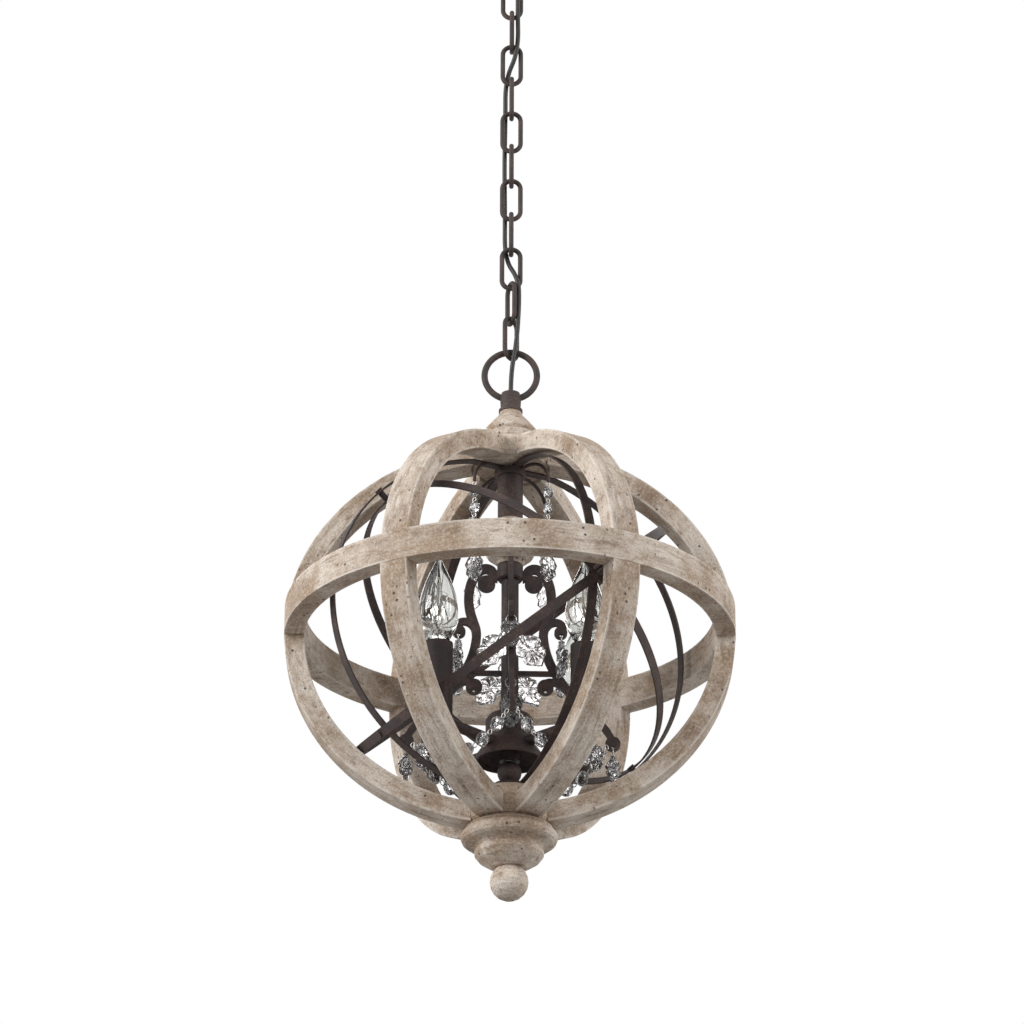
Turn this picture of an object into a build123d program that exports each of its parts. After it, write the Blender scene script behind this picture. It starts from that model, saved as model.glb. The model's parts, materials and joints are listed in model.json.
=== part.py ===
"""Orb chandelier: a wooden sphere of six ribs and a hoop, hung on a chain.

All sizes are millimetres. The ceiling plane is Z = 0 and the lamp hangs below it, on the Z axis.
Heights named *_UP are measured upwards from the middle of the hoop, which sits at Z = HOOP_Z.
Angles go round the Z axis from the front (-Y), towards +X.
"""
from build123d import *
import math
import os

# ---- driving dimensions: the orb ----
ORB_R = 203.0          # outside radius of the hoop
HOOP_H = 27.7          # height of the hoop's section
WOOD_T = 18.0          # radial thickness of hoop and ribs
LAP_R = ORB_R - WOOD_T / 2
RIB_W = 27.0           # width of a rib, across its outer face
RIB_COUNT = 6
RIB_FIRST = 30.0       # angle of the first rib from the front
RIB_A = 202.5          # half width of the ribs' outer oval
RIB_B = 185.5          # half height of the ribs' outer oval
RIB_MID_UP = -9.0      # centre of the ribs' oval
HUB_R = 36.0           # both turned hubs

# ---- driving dimensions: hanging gear ----
LINK_L = 45.8          # outside length of a chain link
LINK_W = 21.6          # outside width of a chain link
LINK_WIRE = 4.5
LINK_PITCH = LINK_L - 2 * LINK_WIRE - 0.1
LINK_COUNT = 12
LINK_TURNS = (50.0, 112.0)   # the two lowest links stand twisted, the others alternate
LOOP_GAP = 1.0         # play between an end link and the loop it hangs on
ORB_LOOP_R = 24.2      # centre line radius of the loop on the orb
ORB_LOOP_WIRE = 6.0
ORB_LOOP_UP = 252.6    # centre of that loop
TOP_LOOP_R = 15.0      # centre line radius of the loop under the canopy
TOP_LOOP_WIRE = 5.0
CORD_D = 4.4
CORD_HOLE_R = 3.0

# ---- driving dimensions: ceiling plate ----
CANOPY_R = 62.5
CANOPY_H = 26.0
BAR_L = 116.0
BAR_W = 24.0
BAR_T = 2.5
SLOT_SPACING = 89.0
SLOT_L = 16.0
SLOT_W = 5.2
NIPPLE_R = 4.85
NIPPLE_BORE_R = 3.2

# ---- driving dimensions: light fitting ----
CANDLE_R = 92.0        # from the stem to a candle
CANDLE_COUNT = 4
FITTING_TURN = 1.5     # the fitting stands turned this much in the orb
SLEEVE_R = 13.3
SLEEVE_BORE_R = 12.0
SLEEVE_TOP_UP = -46.0
SLEEVE_BOTTOM_UP = -110.0
SOCKET_R = 10.0
BULB_R = 18.0
BULB_TIP_UP = 40.0
BULB_SCREW_R = 6.0
ARM_R = 5.0
ARM_UP = SLEEVE_BOTTOM_UP - 2.0 - ARM_R
STEM_R = 7.85
UPPER_STEM_R = 11.5
ROD_R = 4.0
PLATE_T = 4.5          # scroll plates
STRIP_W = 8.6

# ---- driving dimensions: metal bands ----
BAND_T = 1.6
BAND_W = 8.5
BAND_AXIS = 27.0       # both leaning bands turn about level lines at this angle
OUTER_R = 170.5        # the outer leaning band: radius, lean and height of its centre
OUTER_LEAN = 41.6
OUTER_UP = -15.0
INNER_R = 163.5        # the inner leaning band
INNER_LEAN = -40.8
INNER_UP = -8.0
OVAL_HALF_W = 176.0    # the upright oval band
OVAL_HALF_H = 163.6
CROSS_HALF_W = 159.5   # the second upright oval, square to the first and just inside it
OVAL_UP = -3.0
OVAL_FLAT = 39.0       # half length of its flats at the two hubs
PIN_R = 2.0
SHOULDER_R = 2.8       # the pivot screws between band and wood
PIN_BITE = 10.0        # how deep a pivot screw goes into the wood
HEAD_R = 3.6
HEAD_T = 1.8

# ---- driving dimensions: scroll plates (distance from the axis, height) ----
SPINE = ((15.5, 45), (14.9, 49.7), (17.2, 54.6), (22.1, 56.4), (27.0, 54.7), (32.3, 48.3), (36.1, 38),
         (37.3, 26.2), (36, 14), (33, 3.5), (30.3, -6), (30.5, -15), (33.5, -29), (41, -46), (52, -62.5),
         (69, -81), (84, -97), (91, -108))
SIDE_BRANCH = ((32.5, -2), (36.2, 2.6), (41.5, 4.2), (46.4, 2.2), (48.3, -3))
LOW_BRANCH = ((54, -67), (48, -60), (42.2, -55.6), (36.6, -54), (32, -56))
TOP_KNOB = (21.3, 41.5, 8.0)
SIDE_KNOB = (45.8, -6.0, 5.9)
LOW_KNOB = (32, -59.4, 7.4)
TAB = (92, -113, 6.8)
TIE_UP = -46.0         # a short bar holds each plate to the stem
SIDE_HOLE = (46.3, -8.8)
LOW_HOLE = (32, -63.6)
TAB_HOLE = (92, -116.5)
HOOK_HOLE_R = 1.8
BELL_LOW_UP = -131.0
BALL_LOW_UP = -152.4

# ---- driving dimensions: crystals ----
BEAD_R = 7.0           # octagon beads
BEAD_T = 6.0
RING_WIRE_R = 0.5
HOOK_R = 4.6           # wire rings that hang a drop from a plate
SWAG_BEADS = 6
SWAG_PITCH = 19.6
SWAG_SAG = 26.0
SWAG_END = (87.5, 3.4, -116.0)   # where it leaves a tab: outwards, sideways, height
STRAND_R = 47.0        # upper strands, from the axis
STRAND_TOP_UP = 129.0
STRAND_BEADS = 4
STRAND_BEAD_R = 5.5
STRAND_PITCH = 16.0
LEAF_T = 4.6
LEAF_SUNK = 1.2        # how far a hanging ring enters its leaf

# ---- heights worked out from the above ----
ORB_CROWN_UP = ORB_LOOP_UP + ORB_LOOP_R
LINK_0_UP = ORB_CROWN_UP - ORB_LOOP_WIRE / 2 - LOOP_GAP + LINK_L / 2 - LINK_WIRE
LINK_TOP_UP = LINK_0_UP + (LINK_COUNT - 1) * LINK_PITCH
TOP_LOOP_LOW_UP = LINK_TOP_UP + LINK_L / 2 - LINK_WIRE - LOOP_GAP - TOP_LOOP_WIRE / 2
TOP_LOOP_UP = TOP_LOOP_LOW_UP + TOP_LOOP_R
TOP_COLLAR_UP = TOP_LOOP_UP + 10.0
TOP_COLLAR_H = 14.0
CEILING_UP = TOP_COLLAR_UP + TOP_COLLAR_H + CANOPY_H
HOOP_Z = -CEILING_UP

OVAL_REACH = OVAL_HALF_H * math.sqrt(1 - (OVAL_FLAT / OVAL_HALF_W) ** 2) + BAND_T / 2
BOTTOM_HUB_UP = OVAL_UP - OVAL_REACH
BOTTOM_HUB_LOW_UP = -191.0
TOP_HUB_UP = OVAL_UP + OVAL_REACH
TOP_HUB_H = 20.0

os.makedirs("parts", exist_ok=True)
parts = {}


def keep(name, shape):
    """Move a shape drawn round the hoop's centre to its place, and file it under its node's name."""
    parts[name] = Pos(0, 0, HOOP_Z) * shape


def turned(points):
    """A turned piece from (radius, height) corners, on the Z axis."""
    outline = Polyline(*[(r, 0, z) for r, z in points], close=True)
    return revolve(make_face(outline), Axis.Z)


def round_at(angle, shape):
    """Turn a piece drawn on +X so that it stands at an angle from the front, towards +X."""
    return Rot(0, 0, angle - 90) * shape


def tube(radius, low, high, bore=0.0):
    """A round bar or tube on the Z axis between two heights."""
    bar = Pos(0, 0, (low + high) / 2) * Cylinder(radius, high - low)
    if bore:
        bar -= Pos(0, 0, (low + high) / 2) * Cylinder(bore, high - low + 2)
    return bar


def together(pieces):
    """Several separate solids that share one node."""
    solids = [solid for piece in pieces for solid in piece.solids()]
    return Compound(children=solids)


# ---- ceiling gear ----
def slot(x):
    """A cutter for one screw slot of the cross bar."""
    return Pos(x, 0, -5) * extrude(SlotOverall(SLOT_L, SLOT_W), 10)


def ceiling_gear():
    bar = Pos(0, 0, -BAR_T / 2) * Box(BAR_L, BAR_W, BAR_T)
    bar -= slot(-SLOT_SPACING / 2)
    bar -= slot(SLOT_SPACING / 2)
    bar -= Cylinder(NIPPLE_R, 20)
    parts["crossbar"] = bar
    parts["nipple"] = tube(NIPPLE_R, -CANOPY_H - 7.0, 0.0, NIPPLE_BORE_R)
    nut = extrude(RegularPolygon(8.2, 6), 4.0) - Cylinder(NIPPLE_R, 20)
    parts["lock_nut"] = Pos(0, 0, -BAR_T - 4.0) * nut
    outer = [(CANOPY_R, 0), (CANOPY_R, -4), (59.5, -8), (44, -16), (26, -21.5), (17, -24), (15, -CANOPY_H)]
    inner = [(14, 1.5 - CANOPY_H), (15.5, -23.2), (25.5, -20.2), (43.5, -14.7), (58.5, -7), (61.3, -3.6),
             (61.3, 0)]
    hole = [(NIPPLE_R + 0.2, -CANOPY_H), (NIPPLE_R + 0.2, 1.5 - CANOPY_H)]
    parts["canopy"] = turned(outer + hole + inner)


def loop_bar(radius, wire, half_gap, opening):
    """An open loop of round bar facing the front, its opening at an angle in its own plane."""
    gap = math.degrees(math.asin(half_gap / radius))
    path = Plane.XZ * CenterArc((0, 0), radius, opening + gap, 360 - 2 * gap)
    section = Plane(origin=path @ 0, z_dir=path % 0) * Circle(wire / 2)
    return sweep(section, path=path)


def loops():
    low = TOP_COLLAR_UP
    collar = tube(9.5, low, low + TOP_COLLAR_H)
    bar = Pos(0, 0, TOP_LOOP_UP) * loop_bar(TOP_LOOP_R, TOP_LOOP_WIRE, CORD_HOLE_R, 90)
    loop = collar + bar - tube(CORD_HOLE_R, low - 9, low + 30)
    keep("canopy_loop", loop - tube(NIPPLE_R, low + 6.0, low + TOP_COLLAR_H + 1))
    bar = Pos(0, 0, ORB_LOOP_UP) * loop_bar(ORB_LOOP_R, ORB_LOOP_WIRE, CORD_HOLE_R + 0.5, -90)
    keep("loop_ring", bar)
    collar = turned([(0, 214.5), (11, 214.5), (11, 217), (9.2, 219), (9.8, 229), (8.6, 234), (0, 234)])
    keep("loop_collar", collar - tube(CORD_HOLE_R, 210, 240) - bar)


# ---- chain ----
def link(number):
    """One chain link, a round bar bent to a slot shape; turn 0 faces the front."""
    turn = LINK_TURNS[number] if number < len(LINK_TURNS) else 90.0 * (number % 2)
    outline = SlotOverall(LINK_L - LINK_WIRE, LINK_W - LINK_WIRE, rotation=90)
    path = (Plane.XZ * outline).face().outer_wire()
    section = Plane(origin=path @ 0, z_dir=path % 0) * Circle(LINK_WIRE / 2)
    height = LINK_0_UP + number * LINK_PITCH
    return Pos(0, 0, height) * Rot(0, 0, turn) * sweep(section, path=path)


def chain():
    keep("chain", together(link(number) for number in range(LINK_COUNT)))


# ---- cord: from the canopy, through two links, to the loop on the orb ----
CORD_UPPER = (
    (0, 0, 746), (0, 0, 731), (5.4, -5.5, 716), (6.0, -6.0, 691), (5.5, -5.4, 645), (6.3, -5.7, 598),
    (-6.0, 5.8, 572.5), (-5.9, 5.9, 530), (-6.3, 6.3, 504),
)
CORD_LOWER = (
    (-6.3, 6.3, 504), (-6.7, 6.7, 478), (-5.9, 5.9, 425), (-6.1, 5.9, 378), (6.9, -4.8, 351.5),
    (7.7, -4.7, 327), (5.4, -6.4, 285), (1.4, -5.9, 262), (0, 0, 243), (0, 0, 226),
)


def bend_radii(points):
    """Rounding for each corner of the cord's run: close to the most its shorter side allows."""
    radii = []
    for before, corner, after in zip(points, points[1:], points[2:]):
        inward = Vector(*corner) - Vector(*before)
        outward = Vector(*after) - Vector(*corner)
        half_turn = math.radians(inward.get_angle(outward)) / 2
        radii.append(0.45 * min(inward.length, outward.length) / math.tan(half_turn))
    return radii


def cord(points):
    radii = bend_radii(points)
    path = FilletPolyline(*points, radius=radii)
    section = Plane(origin=path @ 0, z_dir=path % 0) * Circle(CORD_D / 2)
    shape = sweep(section, path=path)
    print("cord length", round(path.length, 1), "least bend", round(min(radii), 1),
          "volume over section x length", round(shape.volume / (path.length * section.area), 3))
    return shape


# ---- wooden orb ----
def oval(half_w, half_h, up):
    return Plane.XZ * Pos(0, up) * Ellipse(half_w, half_h)


def rib(angle):
    """One bent rib, from hub to hub, notched on its inner half where it laps the hoop."""
    face = oval(RIB_A, RIB_B, RIB_MID_UP) - oval(RIB_A - WOOD_T, RIB_B - WOOD_T, RIB_MID_UP)
    bow = extrude(face, RIB_W / 2, both=True)
    bow &= Pos(RIB_A / 2, 0, RIB_MID_UP) * Box(RIB_A, RIB_W + 2, 2 * RIB_B + 2)
    bow -= tube(HUB_R, -RIB_B - 20, RIB_B + 20)
    bow -= tube(LAP_R, -HOOP_H / 2, HOOP_H / 2)
    return round_at(angle, bow)


def orb_frame():
    hoop = tube(ORB_R, -HOOP_H / 2, HOOP_H / 2, ORB_R - WOOD_T)
    screws = pivot_screws()
    for number in range(RIB_COUNT):
        angle = RIB_FIRST + number * 360 / RIB_COUNT
        bow = rib(angle)
        hoop -= bow
        for screw in screws:
            bow -= screw
        keep(f"rib_{number + 1}", bow)
    for screw in screws:
        hoop -= screw
    keep("equator_hoop", hoop)
    low = TOP_HUB_UP
    top = low + TOP_HUB_H
    hub = turned([(0, low), (33, low), (HUB_R, low + 3), (HUB_R, top - 2), (34, top), (0, top)])
    keep("top_hub", hub - tube(ROD_R, low - 1, top + 1))
    cap = turned([(0, top), (29, top), (30, top + 3), (28, 187), (24, 189), (25.5, 191.5), (23.5, 196),
                  (17, 204), (11.5, 210), (10, 214.5), (0, 214.5)])
    keep("dome_cap", cap - tube(ROD_R, top - 1, 216))
    low, top = BOTTOM_HUB_LOW_UP, BOTTOM_HUB_UP
    hub = turned([(0, low), (34, low), (HUB_R, low + 2), (HUB_R, top - 3), (33, top), (0, top)])
    keep("bottom_hub", hub - tube(ROD_R, low - 1, top + 1))
    keep("finial", turned(finial_outline()) - tube(ROD_R, -206, -190))


def finial_outline():
    """The turned drop below the orb: a neck, a broad ring, a lip, a waist and a ball."""
    ball_up, ball_r = -244.6, 17.1
    corners = [(0, -191), (33, -191), (34, -192.5), (38.5, -195), (37, -197)]
    for step in range(7):
        turn = math.radians(80 - step * 30)
        corners.append((36.6 + 6.4 * math.cos(turn), -203.5 + 6.4 * math.sin(turn)))
    corners += [(31, -211.5), (29.5, -214), (30.8, -216.5), (30.5, -220), (27, -224.5), (20, -229), (15.5, -231.5)]
    for step in range(9):
        turn = math.radians(50 - step * 17.5)
        corners.append((ball_r * math.cos(turn), ball_up + ball_r * math.sin(turn)))
    return corners


# ---- metal bands inside the orb ----
def hoop_band(radius, lean, up):
    """A round band leaning about the level line of its two pivot screws."""
    band = Cylinder(radius + BAND_T / 2, BAND_W) - Cylinder(radius - BAND_T / 2, BAND_W + 2)
    return Pos(0, 0, up) * round_at(BAND_AXIS, Rot(lean, 0, 0) * band)


def oval_band(half_w, half_h, flat, angle):
    """An upright band, pressed flat top and bottom where it is clamped on the axis."""
    half = BAND_T / 2
    outer = oval(half_w + half, half_h + half, OVAL_UP)
    inner = oval(half_w - half, half_h - half, OVAL_UP)
    wide = 3 * half_w
    outer &= Plane.XZ * Pos(0, OVAL_UP) * Rectangle(wide, 2 * flat)
    inner &= Plane.XZ * Pos(0, OVAL_UP) * Rectangle(wide, 2 * (flat - BAND_T))
    band = round_at(angle, extrude(outer - inner, BAND_W / 2, both=True))
    return band - tube(ROD_R, -200, 200)


def spoke(ray, up, near, far, radius):
    """A short bar on a ray that leaves the axis at a height."""
    axis = Vector(*ray).normalized()
    start = Vector(0, 0, up) + axis * near
    return extrude(Plane(origin=start, z_dir=axis) * Circle(radius), far - near)


def band_ray(angle, rise):
    """Direction of a ray at an angle from the front, rising from level."""
    turn, up = math.radians(angle), math.radians(rise)
    return (math.sin(turn) * math.cos(up), -math.cos(turn) * math.cos(up), math.sin(up))


def pivot_screws():
    """Each leaning band is held by two screws: head inside, shoulder outside, shank in the wood."""
    made = []
    wood = RIB_A - WOOD_T - 0.6
    for radius, up in ((OUTER_R, OUTER_UP), (INNER_R, INNER_UP)):
        for side in (0, 1):
            ray = band_ray(BAND_AXIS + 180 * side, 0)
            inner, outer = radius - BAND_T / 2, radius + BAND_T / 2
            screw = spoke(ray, up, inner - HEAD_T, inner, HEAD_R) + spoke(ray, up, inner, wood + PIN_BITE, PIN_R)
            made.append(screw + spoke(ray, up, outer, wood, SHOULDER_R))
    return made


def oval_reach(ray, up):
    """Distance along a ray from the axis to the upright oval's middle, in its plane."""
    level, rise = math.hypot(ray[0], ray[1]), ray[2]
    reach = OUTER_R
    for _ in range(60):
        height = up - OVAL_UP + reach * rise
        reach /= math.hypot(reach * level / OVAL_HALF_W, height / OVAL_HALF_H)
    return reach


def rivets():
    """Four spacer rivets where the upright oval crosses the leaning bands."""
    made = []
    for radius, lean, up in ((OUTER_R, OUTER_LEAN, OUTER_UP), (INNER_R, INNER_LEAN, INNER_UP)):
        for side in (0, 1):
            ray = band_ray(BAND_AXIS + 90 + 180 * side, lean * (1 - 2 * side))
            near, far = sorted((radius, oval_reach(ray, up)))
            near -= BAND_T / 2
            far += BAND_T / 2
            shank = spoke(ray, up, near - HEAD_T, far + HEAD_T, PIN_R)
            shank += spoke(ray, up, near + BAND_T + 0.2, far - BAND_T - 0.2, SHOULDER_R)
            heads = spoke(ray, up, near - HEAD_T, near, HEAD_R) + spoke(ray, up, far, far + HEAD_T, HEAD_R)
            made.append(shank + heads)
    return made


def bands():
    pins, screws = rivets(), pivot_screws()
    drilled = {
        "band_outer": hoop_band(OUTER_R, OUTER_LEAN, OUTER_UP),
        "band_inner": hoop_band(INNER_R, INNER_LEAN, INNER_UP),
        "band_upright": oval_band(OVAL_HALF_W, OVAL_HALF_H, OVAL_REACH, BAND_AXIS + 90),
        "band_cross": oval_band(CROSS_HALF_W, OVAL_HALF_H - 2 * BAND_T, OVAL_REACH - BAND_T, BAND_AXIS),
    }
    for name, band in drilled.items():
        for pin in pins + screws:
            band -= pin
        keep(name, band)
    keep("band_rivets", together(pins))
    keep("band_screws", together(screws))


# ---- stem: turned pieces threaded on one rod ----
def on_rod(name, points):
    keep(name, turned(points) - tube(ROD_R, -300, 300))


def stem():
    band_low = TOP_HUB_UP - 2 * BAND_T
    keep("tie_rod", tube(ROD_R, -206, 214.5, ROD_R - 1.5))
    on_rod("stem_collar", [(0, 148), (13, 148), (14.5, 149.5), (14.5, band_low), (0, band_low)])
    on_rod("upper_stem", [(0, 104), (UPPER_STEM_R, 104), (UPPER_STEM_R, 148), (0, 148)])
    on_rod("wood_vase", [(0, 60), (11.7, 60), (13.5, 62.5), (20.5, 68), (23.6, 74), (24, 80), (22.4, 87),
                         (18, 95), (14, 100.5), (13, 104), (0, 104)])
    on_rod("scroll_collar", [(0, 45), (10.5, 45), (11.7, 46.5), (11.7, 58.5), (10.5, 60), (0, 60)])
    on_rod("lower_stem", [(0, -84), (STEM_R, -84), (STEM_R, 45), (0, 45)])
    band_top = BOTTOM_HUB_UP + 2 * BAND_T
    on_rod("bottom_cap", [(0, band_top), (16.7, band_top), (16.7, band_top + 3), (14, band_top + 7),
                          (8, BALL_LOW_UP), (0, BALL_LOW_UP)])
    ball = Pos(0, 0, (BALL_LOW_UP + BELL_LOW_UP) / 2) * Sphere(10.8)
    ball &= tube(20, BALL_LOW_UP, BELL_LOW_UP)
    keep("ball_finial", ball - tube(ROD_R, -300, 300))


BELL_SKIN = ((0, -84), (12, -84), (19, -88), (21.5, -92), (21.5, -101), (19, -107), (20, -112), (25, -118.5),
             (29.3, -125), (30.3, BELL_LOW_UP))
BELL_HOLLOW = ((28.6, BELL_LOW_UP), (27.6, -126), (23.5, -120), (17, -115), (9, -113), (9, BELL_LOW_UP),
               (0, BELL_LOW_UP))


# ---- scroll plates ----
def strip(points, wide, narrow):
    """A flat strip along a smooth line, tapering from one width to another."""
    line = Spline(*points)
    count = 3 * len(points)
    sides = ([], [])
    for step in range(count + 1):
        part = step / count
        spot, way = line @ part, line % part
        half = (wide + (narrow - wide) * part ** 3) / 2
        sides[0].append((spot.X - way.Y * half, spot.Y + way.X * half))
        sides[1].append((spot.X + way.Y * half, spot.Y - way.X * half))
    left, right = Spline(*sides[0]), Spline(*sides[1])
    return make_face([left, Line(left @ 1, right @ 1), right, Line(right @ 0, left @ 0)])


def disc(knob):
    across, up, radius = knob
    return Pos(across, up) * Circle(radius)


def scroll_plate():
    """One scroll cut from plate, standing in the plane Y = 0 on the +X side."""
    face = strip(SPINE, STRIP_W, 5.4) + strip(SIDE_BRANCH, STRIP_W - 2, 5.5) + strip(LOW_BRANCH, 5.0, 7.0)
    for knob in (TOP_KNOB, SIDE_KNOB, LOW_KNOB, TAB):
        face += disc(knob)
    tie = SPINE[13][0]
    face += Pos(tie / 2, TIE_UP) * Rectangle(tie, 4)
    for across, up in (SIDE_HOLE, LOW_HOLE, TAB_HOLE):
        face -= Pos(across, up) * Circle(HOOK_HOLE_R)
    plate = extrude(Plane.XZ * face, PLATE_T / 2, both=True)
    return plate - tube(11.7, 44, 62) - tube(STEM_R, TIE_UP - 9, TIE_UP + 9)


def fitting():
    """Bell, arms, candles and scroll plates."""
    plate = scroll_plate()
    plates = [round_at(FITTING_TURN + 90 * number, plate) for number in range(4)]
    keep("scroll_plates", together(plates))
    bell_block = turned(BELL_SKIN + ((0, BELL_LOW_UP),))
    keep("bell", turned(BELL_SKIN + BELL_HOLLOW) - tube(ROD_R, -300, 300))
    arm = Pos(CANDLE_R / 2, 0, ARM_UP) * Rot(0, 90, 0) * Cylinder(ARM_R, CANDLE_R)
    low, high = SLEEVE_BOTTOM_UP - 2, SLEEVE_BOTTOM_UP
    seat = [(0, ARM_UP - 8), (5, ARM_UP - 7), (8, ARM_UP - 3), (8, low - 2), (SLEEVE_R, low), (SLEEVE_R, high),
            (8, high), (8, high + 2), (0, high + 2)]
    arm += Pos(CANDLE_R, 0, 0) * turned(seat)
    arm -= bell_block
    socket_floor = SLEEVE_BOTTOM_UP + 2
    socket = tube(SOCKET_R, socket_floor, SLEEVE_TOP_UP - 4, BULB_SCREW_R + 0.3)
    socket += tube(SOCKET_R, socket_floor, SLEEVE_TOP_UP - 26)
    sleeve = tube(SLEEVE_R, SLEEVE_BOTTOM_UP, SLEEVE_TOP_UP, SLEEVE_BORE_R)
    glass = bulb_glass()
    screw = tube(BULB_SCREW_R, SLEEVE_TOP_UP - 22, SLEEVE_TOP_UP - 2)
    sleeves, sockets, arms = [], [], []
    for number in range(CANDLE_COUNT):
        angle = FITTING_TURN + 45 + 90 * number
        arms.append(round_at(angle, arm))
        sleeves.append(round_at(angle, Pos(CANDLE_R, 0, 0) * sleeve))
        sockets.append(round_at(angle, Pos(CANDLE_R, 0, 0) * socket))
        keep(f"bulb_{number + 1}", round_at(angle, Pos(CANDLE_R, 0, 0) * glass))
        keep(f"bulb_screw_{number + 1}", round_at(angle, Pos(CANDLE_R, 0, 0) * screw))
    keep("candle_arms", together(arms))
    keep("candle_sleeves", together(sleeves))
    keep("sockets", together(sockets))


def bulb_glass():
    """A flame-shaped bulb, from its neck to its drawn-out tip."""
    low = SLEEVE_TOP_UP - 2
    right = Spline((7, 0, low), (10.5, 0, -41), (16.6, 0, -28), (BULB_R, 0, -17), (15.6, 0, 0), (9.8, 0, 18),
                   (4.2, 0, 31), (1.2, 0, BULB_TIP_UP))
    edges = [right, Line(right @ 1, (0, 0, BULB_TIP_UP)), Line((0, 0, BULB_TIP_UP), (0, 0, low)),
             Line((0, 0, low), right @ 0)]
    return revolve(make_face(edges), Axis.Z)


# ---- crystals ----
def bead(radius):
    """An octagon bead, lying in the plane Y = 0, with bevelled faces."""
    octagon = Plane.XZ * RegularPolygon(radius, 8)
    shape = extrude(octagon, BEAD_T / 2, both=True)
    front = [face for face in shape.faces() if abs(abs(face.normal_at().Y) - 1) < 1e-6]
    rims = [edge for face in front for edge in face.edges()]
    return chamfer(rims, 1.7)


def wire_ring(radius, turn=0.0):
    """A closed ring of thin wire in the plane Y = 0, turned about Z."""
    return Rot(0, 0, turn) * Rot(90, 0, 0) * Torus(radius, RING_WIRE_R)


def leaf(length, width):
    """A leaf-shaped crystal hanging from the origin in the plane Y = 0."""
    side = ((0.12, 0.0), (0.2, 0.16), (0.62, 0.24), (1.0, 0.42), (0.74, 0.58), (0.86, 0.74), (0.36, 0.9))
    half = width / 2
    right = [(half * across, -length * down) for across, down in side]
    left = [(-across, up) for across, up in reversed(right)]
    outline = Polyline(*right, (0, -length), *left, close=True)
    return extrude(Plane.XZ * make_face(outline), LEAF_T / 2, both=True)


def swag():
    """Beads and rings of one swag, in the plane Y = 0 with its lowest point over the origin's X."""
    angle = math.radians(45) - math.atan2(SWAG_END[1], SWAG_END[0])
    half_span = math.hypot(SWAG_END[0], SWAG_END[1]) * math.sin(angle)
    curve = [(0.0, SWAG_END[2] - SWAG_SAG, 0.0)]
    fine = 400
    for step in range(1, fine + 1):
        along = half_span * step / fine
        up = SWAG_END[2] - SWAG_SAG * (1 - (along / half_span) ** 2)
        before = curve[-1]
        curve.append((along, up, before[2] + math.dist(before[:2], (along, up))))

    def placed(distance, shape):
        """A piece set on the curve at a distance from its middle, turned along it."""
        along, up, _ = min(curve, key=lambda entry: abs(entry[2] - abs(distance)))
        slope = math.degrees(math.atan(2 * SWAG_SAG * along / half_span ** 2))
        if distance < 0:
            along, slope = -along, -slope
        return Pos(along, 0, up) * Rot(0, -slope, 0) * shape

    reach = SWAG_PITCH * (SWAG_BEADS - 1) / 2
    between = wire_ring(SWAG_PITCH / 2 - BEAD_R - RING_WIRE_R)
    end_gap = (curve[-1][2] - reach - BEAD_R) / 2
    beads = [placed(SWAG_PITCH * number - reach, bead(BEAD_R)) for number in range(SWAG_BEADS)]
    rings = [placed(SWAG_PITCH * (number + 0.5) - reach, between) for number in range(SWAG_BEADS - 1)]
    for side in (-1, 1):
        for number in (1, 3):
            spot = side * (reach + BEAD_R + number * end_gap / 2)
            rings.append(placed(spot, wire_ring(end_gap / 2 - RING_WIRE_R)))
    away = math.hypot(SWAG_END[0], SWAG_END[1]) * math.cos(angle)
    return away, beads, rings


def strand():
    """Beads and rings of one upper strand, hanging in the plane Y = 0 from its hook's end."""
    ring_r = STRAND_PITCH / 2 - STRAND_BEAD_R
    beads, rings = [], []
    height = STRAND_TOP_UP - ring_r
    for _ in range(STRAND_BEADS):
        rings.append(Pos(0, 0, height) * wire_ring(ring_r - RING_WIRE_R))
        beads.append(Pos(0, 0, height - STRAND_PITCH / 2) * Rot(0, 90, 0) * bead(STRAND_BEAD_R))
        height -= STRAND_PITCH
    rings.append(Pos(0, 0, height) * wire_ring(ring_r - RING_WIRE_R))
    beads.append(Pos(0, 0, height - ring_r) * leaf(30, 19))
    return beads, rings


def crystals():
    away, beads, rings = swag()
    all_beads, all_rings = [], []
    strand_beads, strand_rings = strand()
    all_strands, hooks = [], []
    hook_line = Spline((13, 0, 152), (26, 0, 153.5), (40, 0, 147), (46.5, 0, 137), (STRAND_R, 0, STRAND_TOP_UP))
    hook = sweep(Plane(origin=hook_line @ 0, z_dir=hook_line % 0) * Circle(1.6), path=hook_line)
    hook -= tube(14.5, 140, 160)
    for number in range(4):
        angle = FITTING_TURN + 45 + 90 * number
        frame = Pos(away, 0, 0) * Rot(0, 0, 90)
        all_beads += [round_at(angle, frame * piece) for piece in beads]
        all_rings += [round_at(angle, frame * piece) for piece in rings]
        frame = Pos(STRAND_R, 0, 0) * Rot(0, 0, 90)
        all_strands += [round_at(angle, frame * piece) for piece in strand_beads]
        all_rings += [round_at(angle, frame * piece) for piece in strand_rings]
        hooks.append(round_at(angle, hook))
    keep("swag_beads", together(all_beads))
    keep("strand_beads", together(all_strands))
    keep("crystal_rings", together(all_rings))
    keep("strand_hooks", together(hooks))


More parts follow.
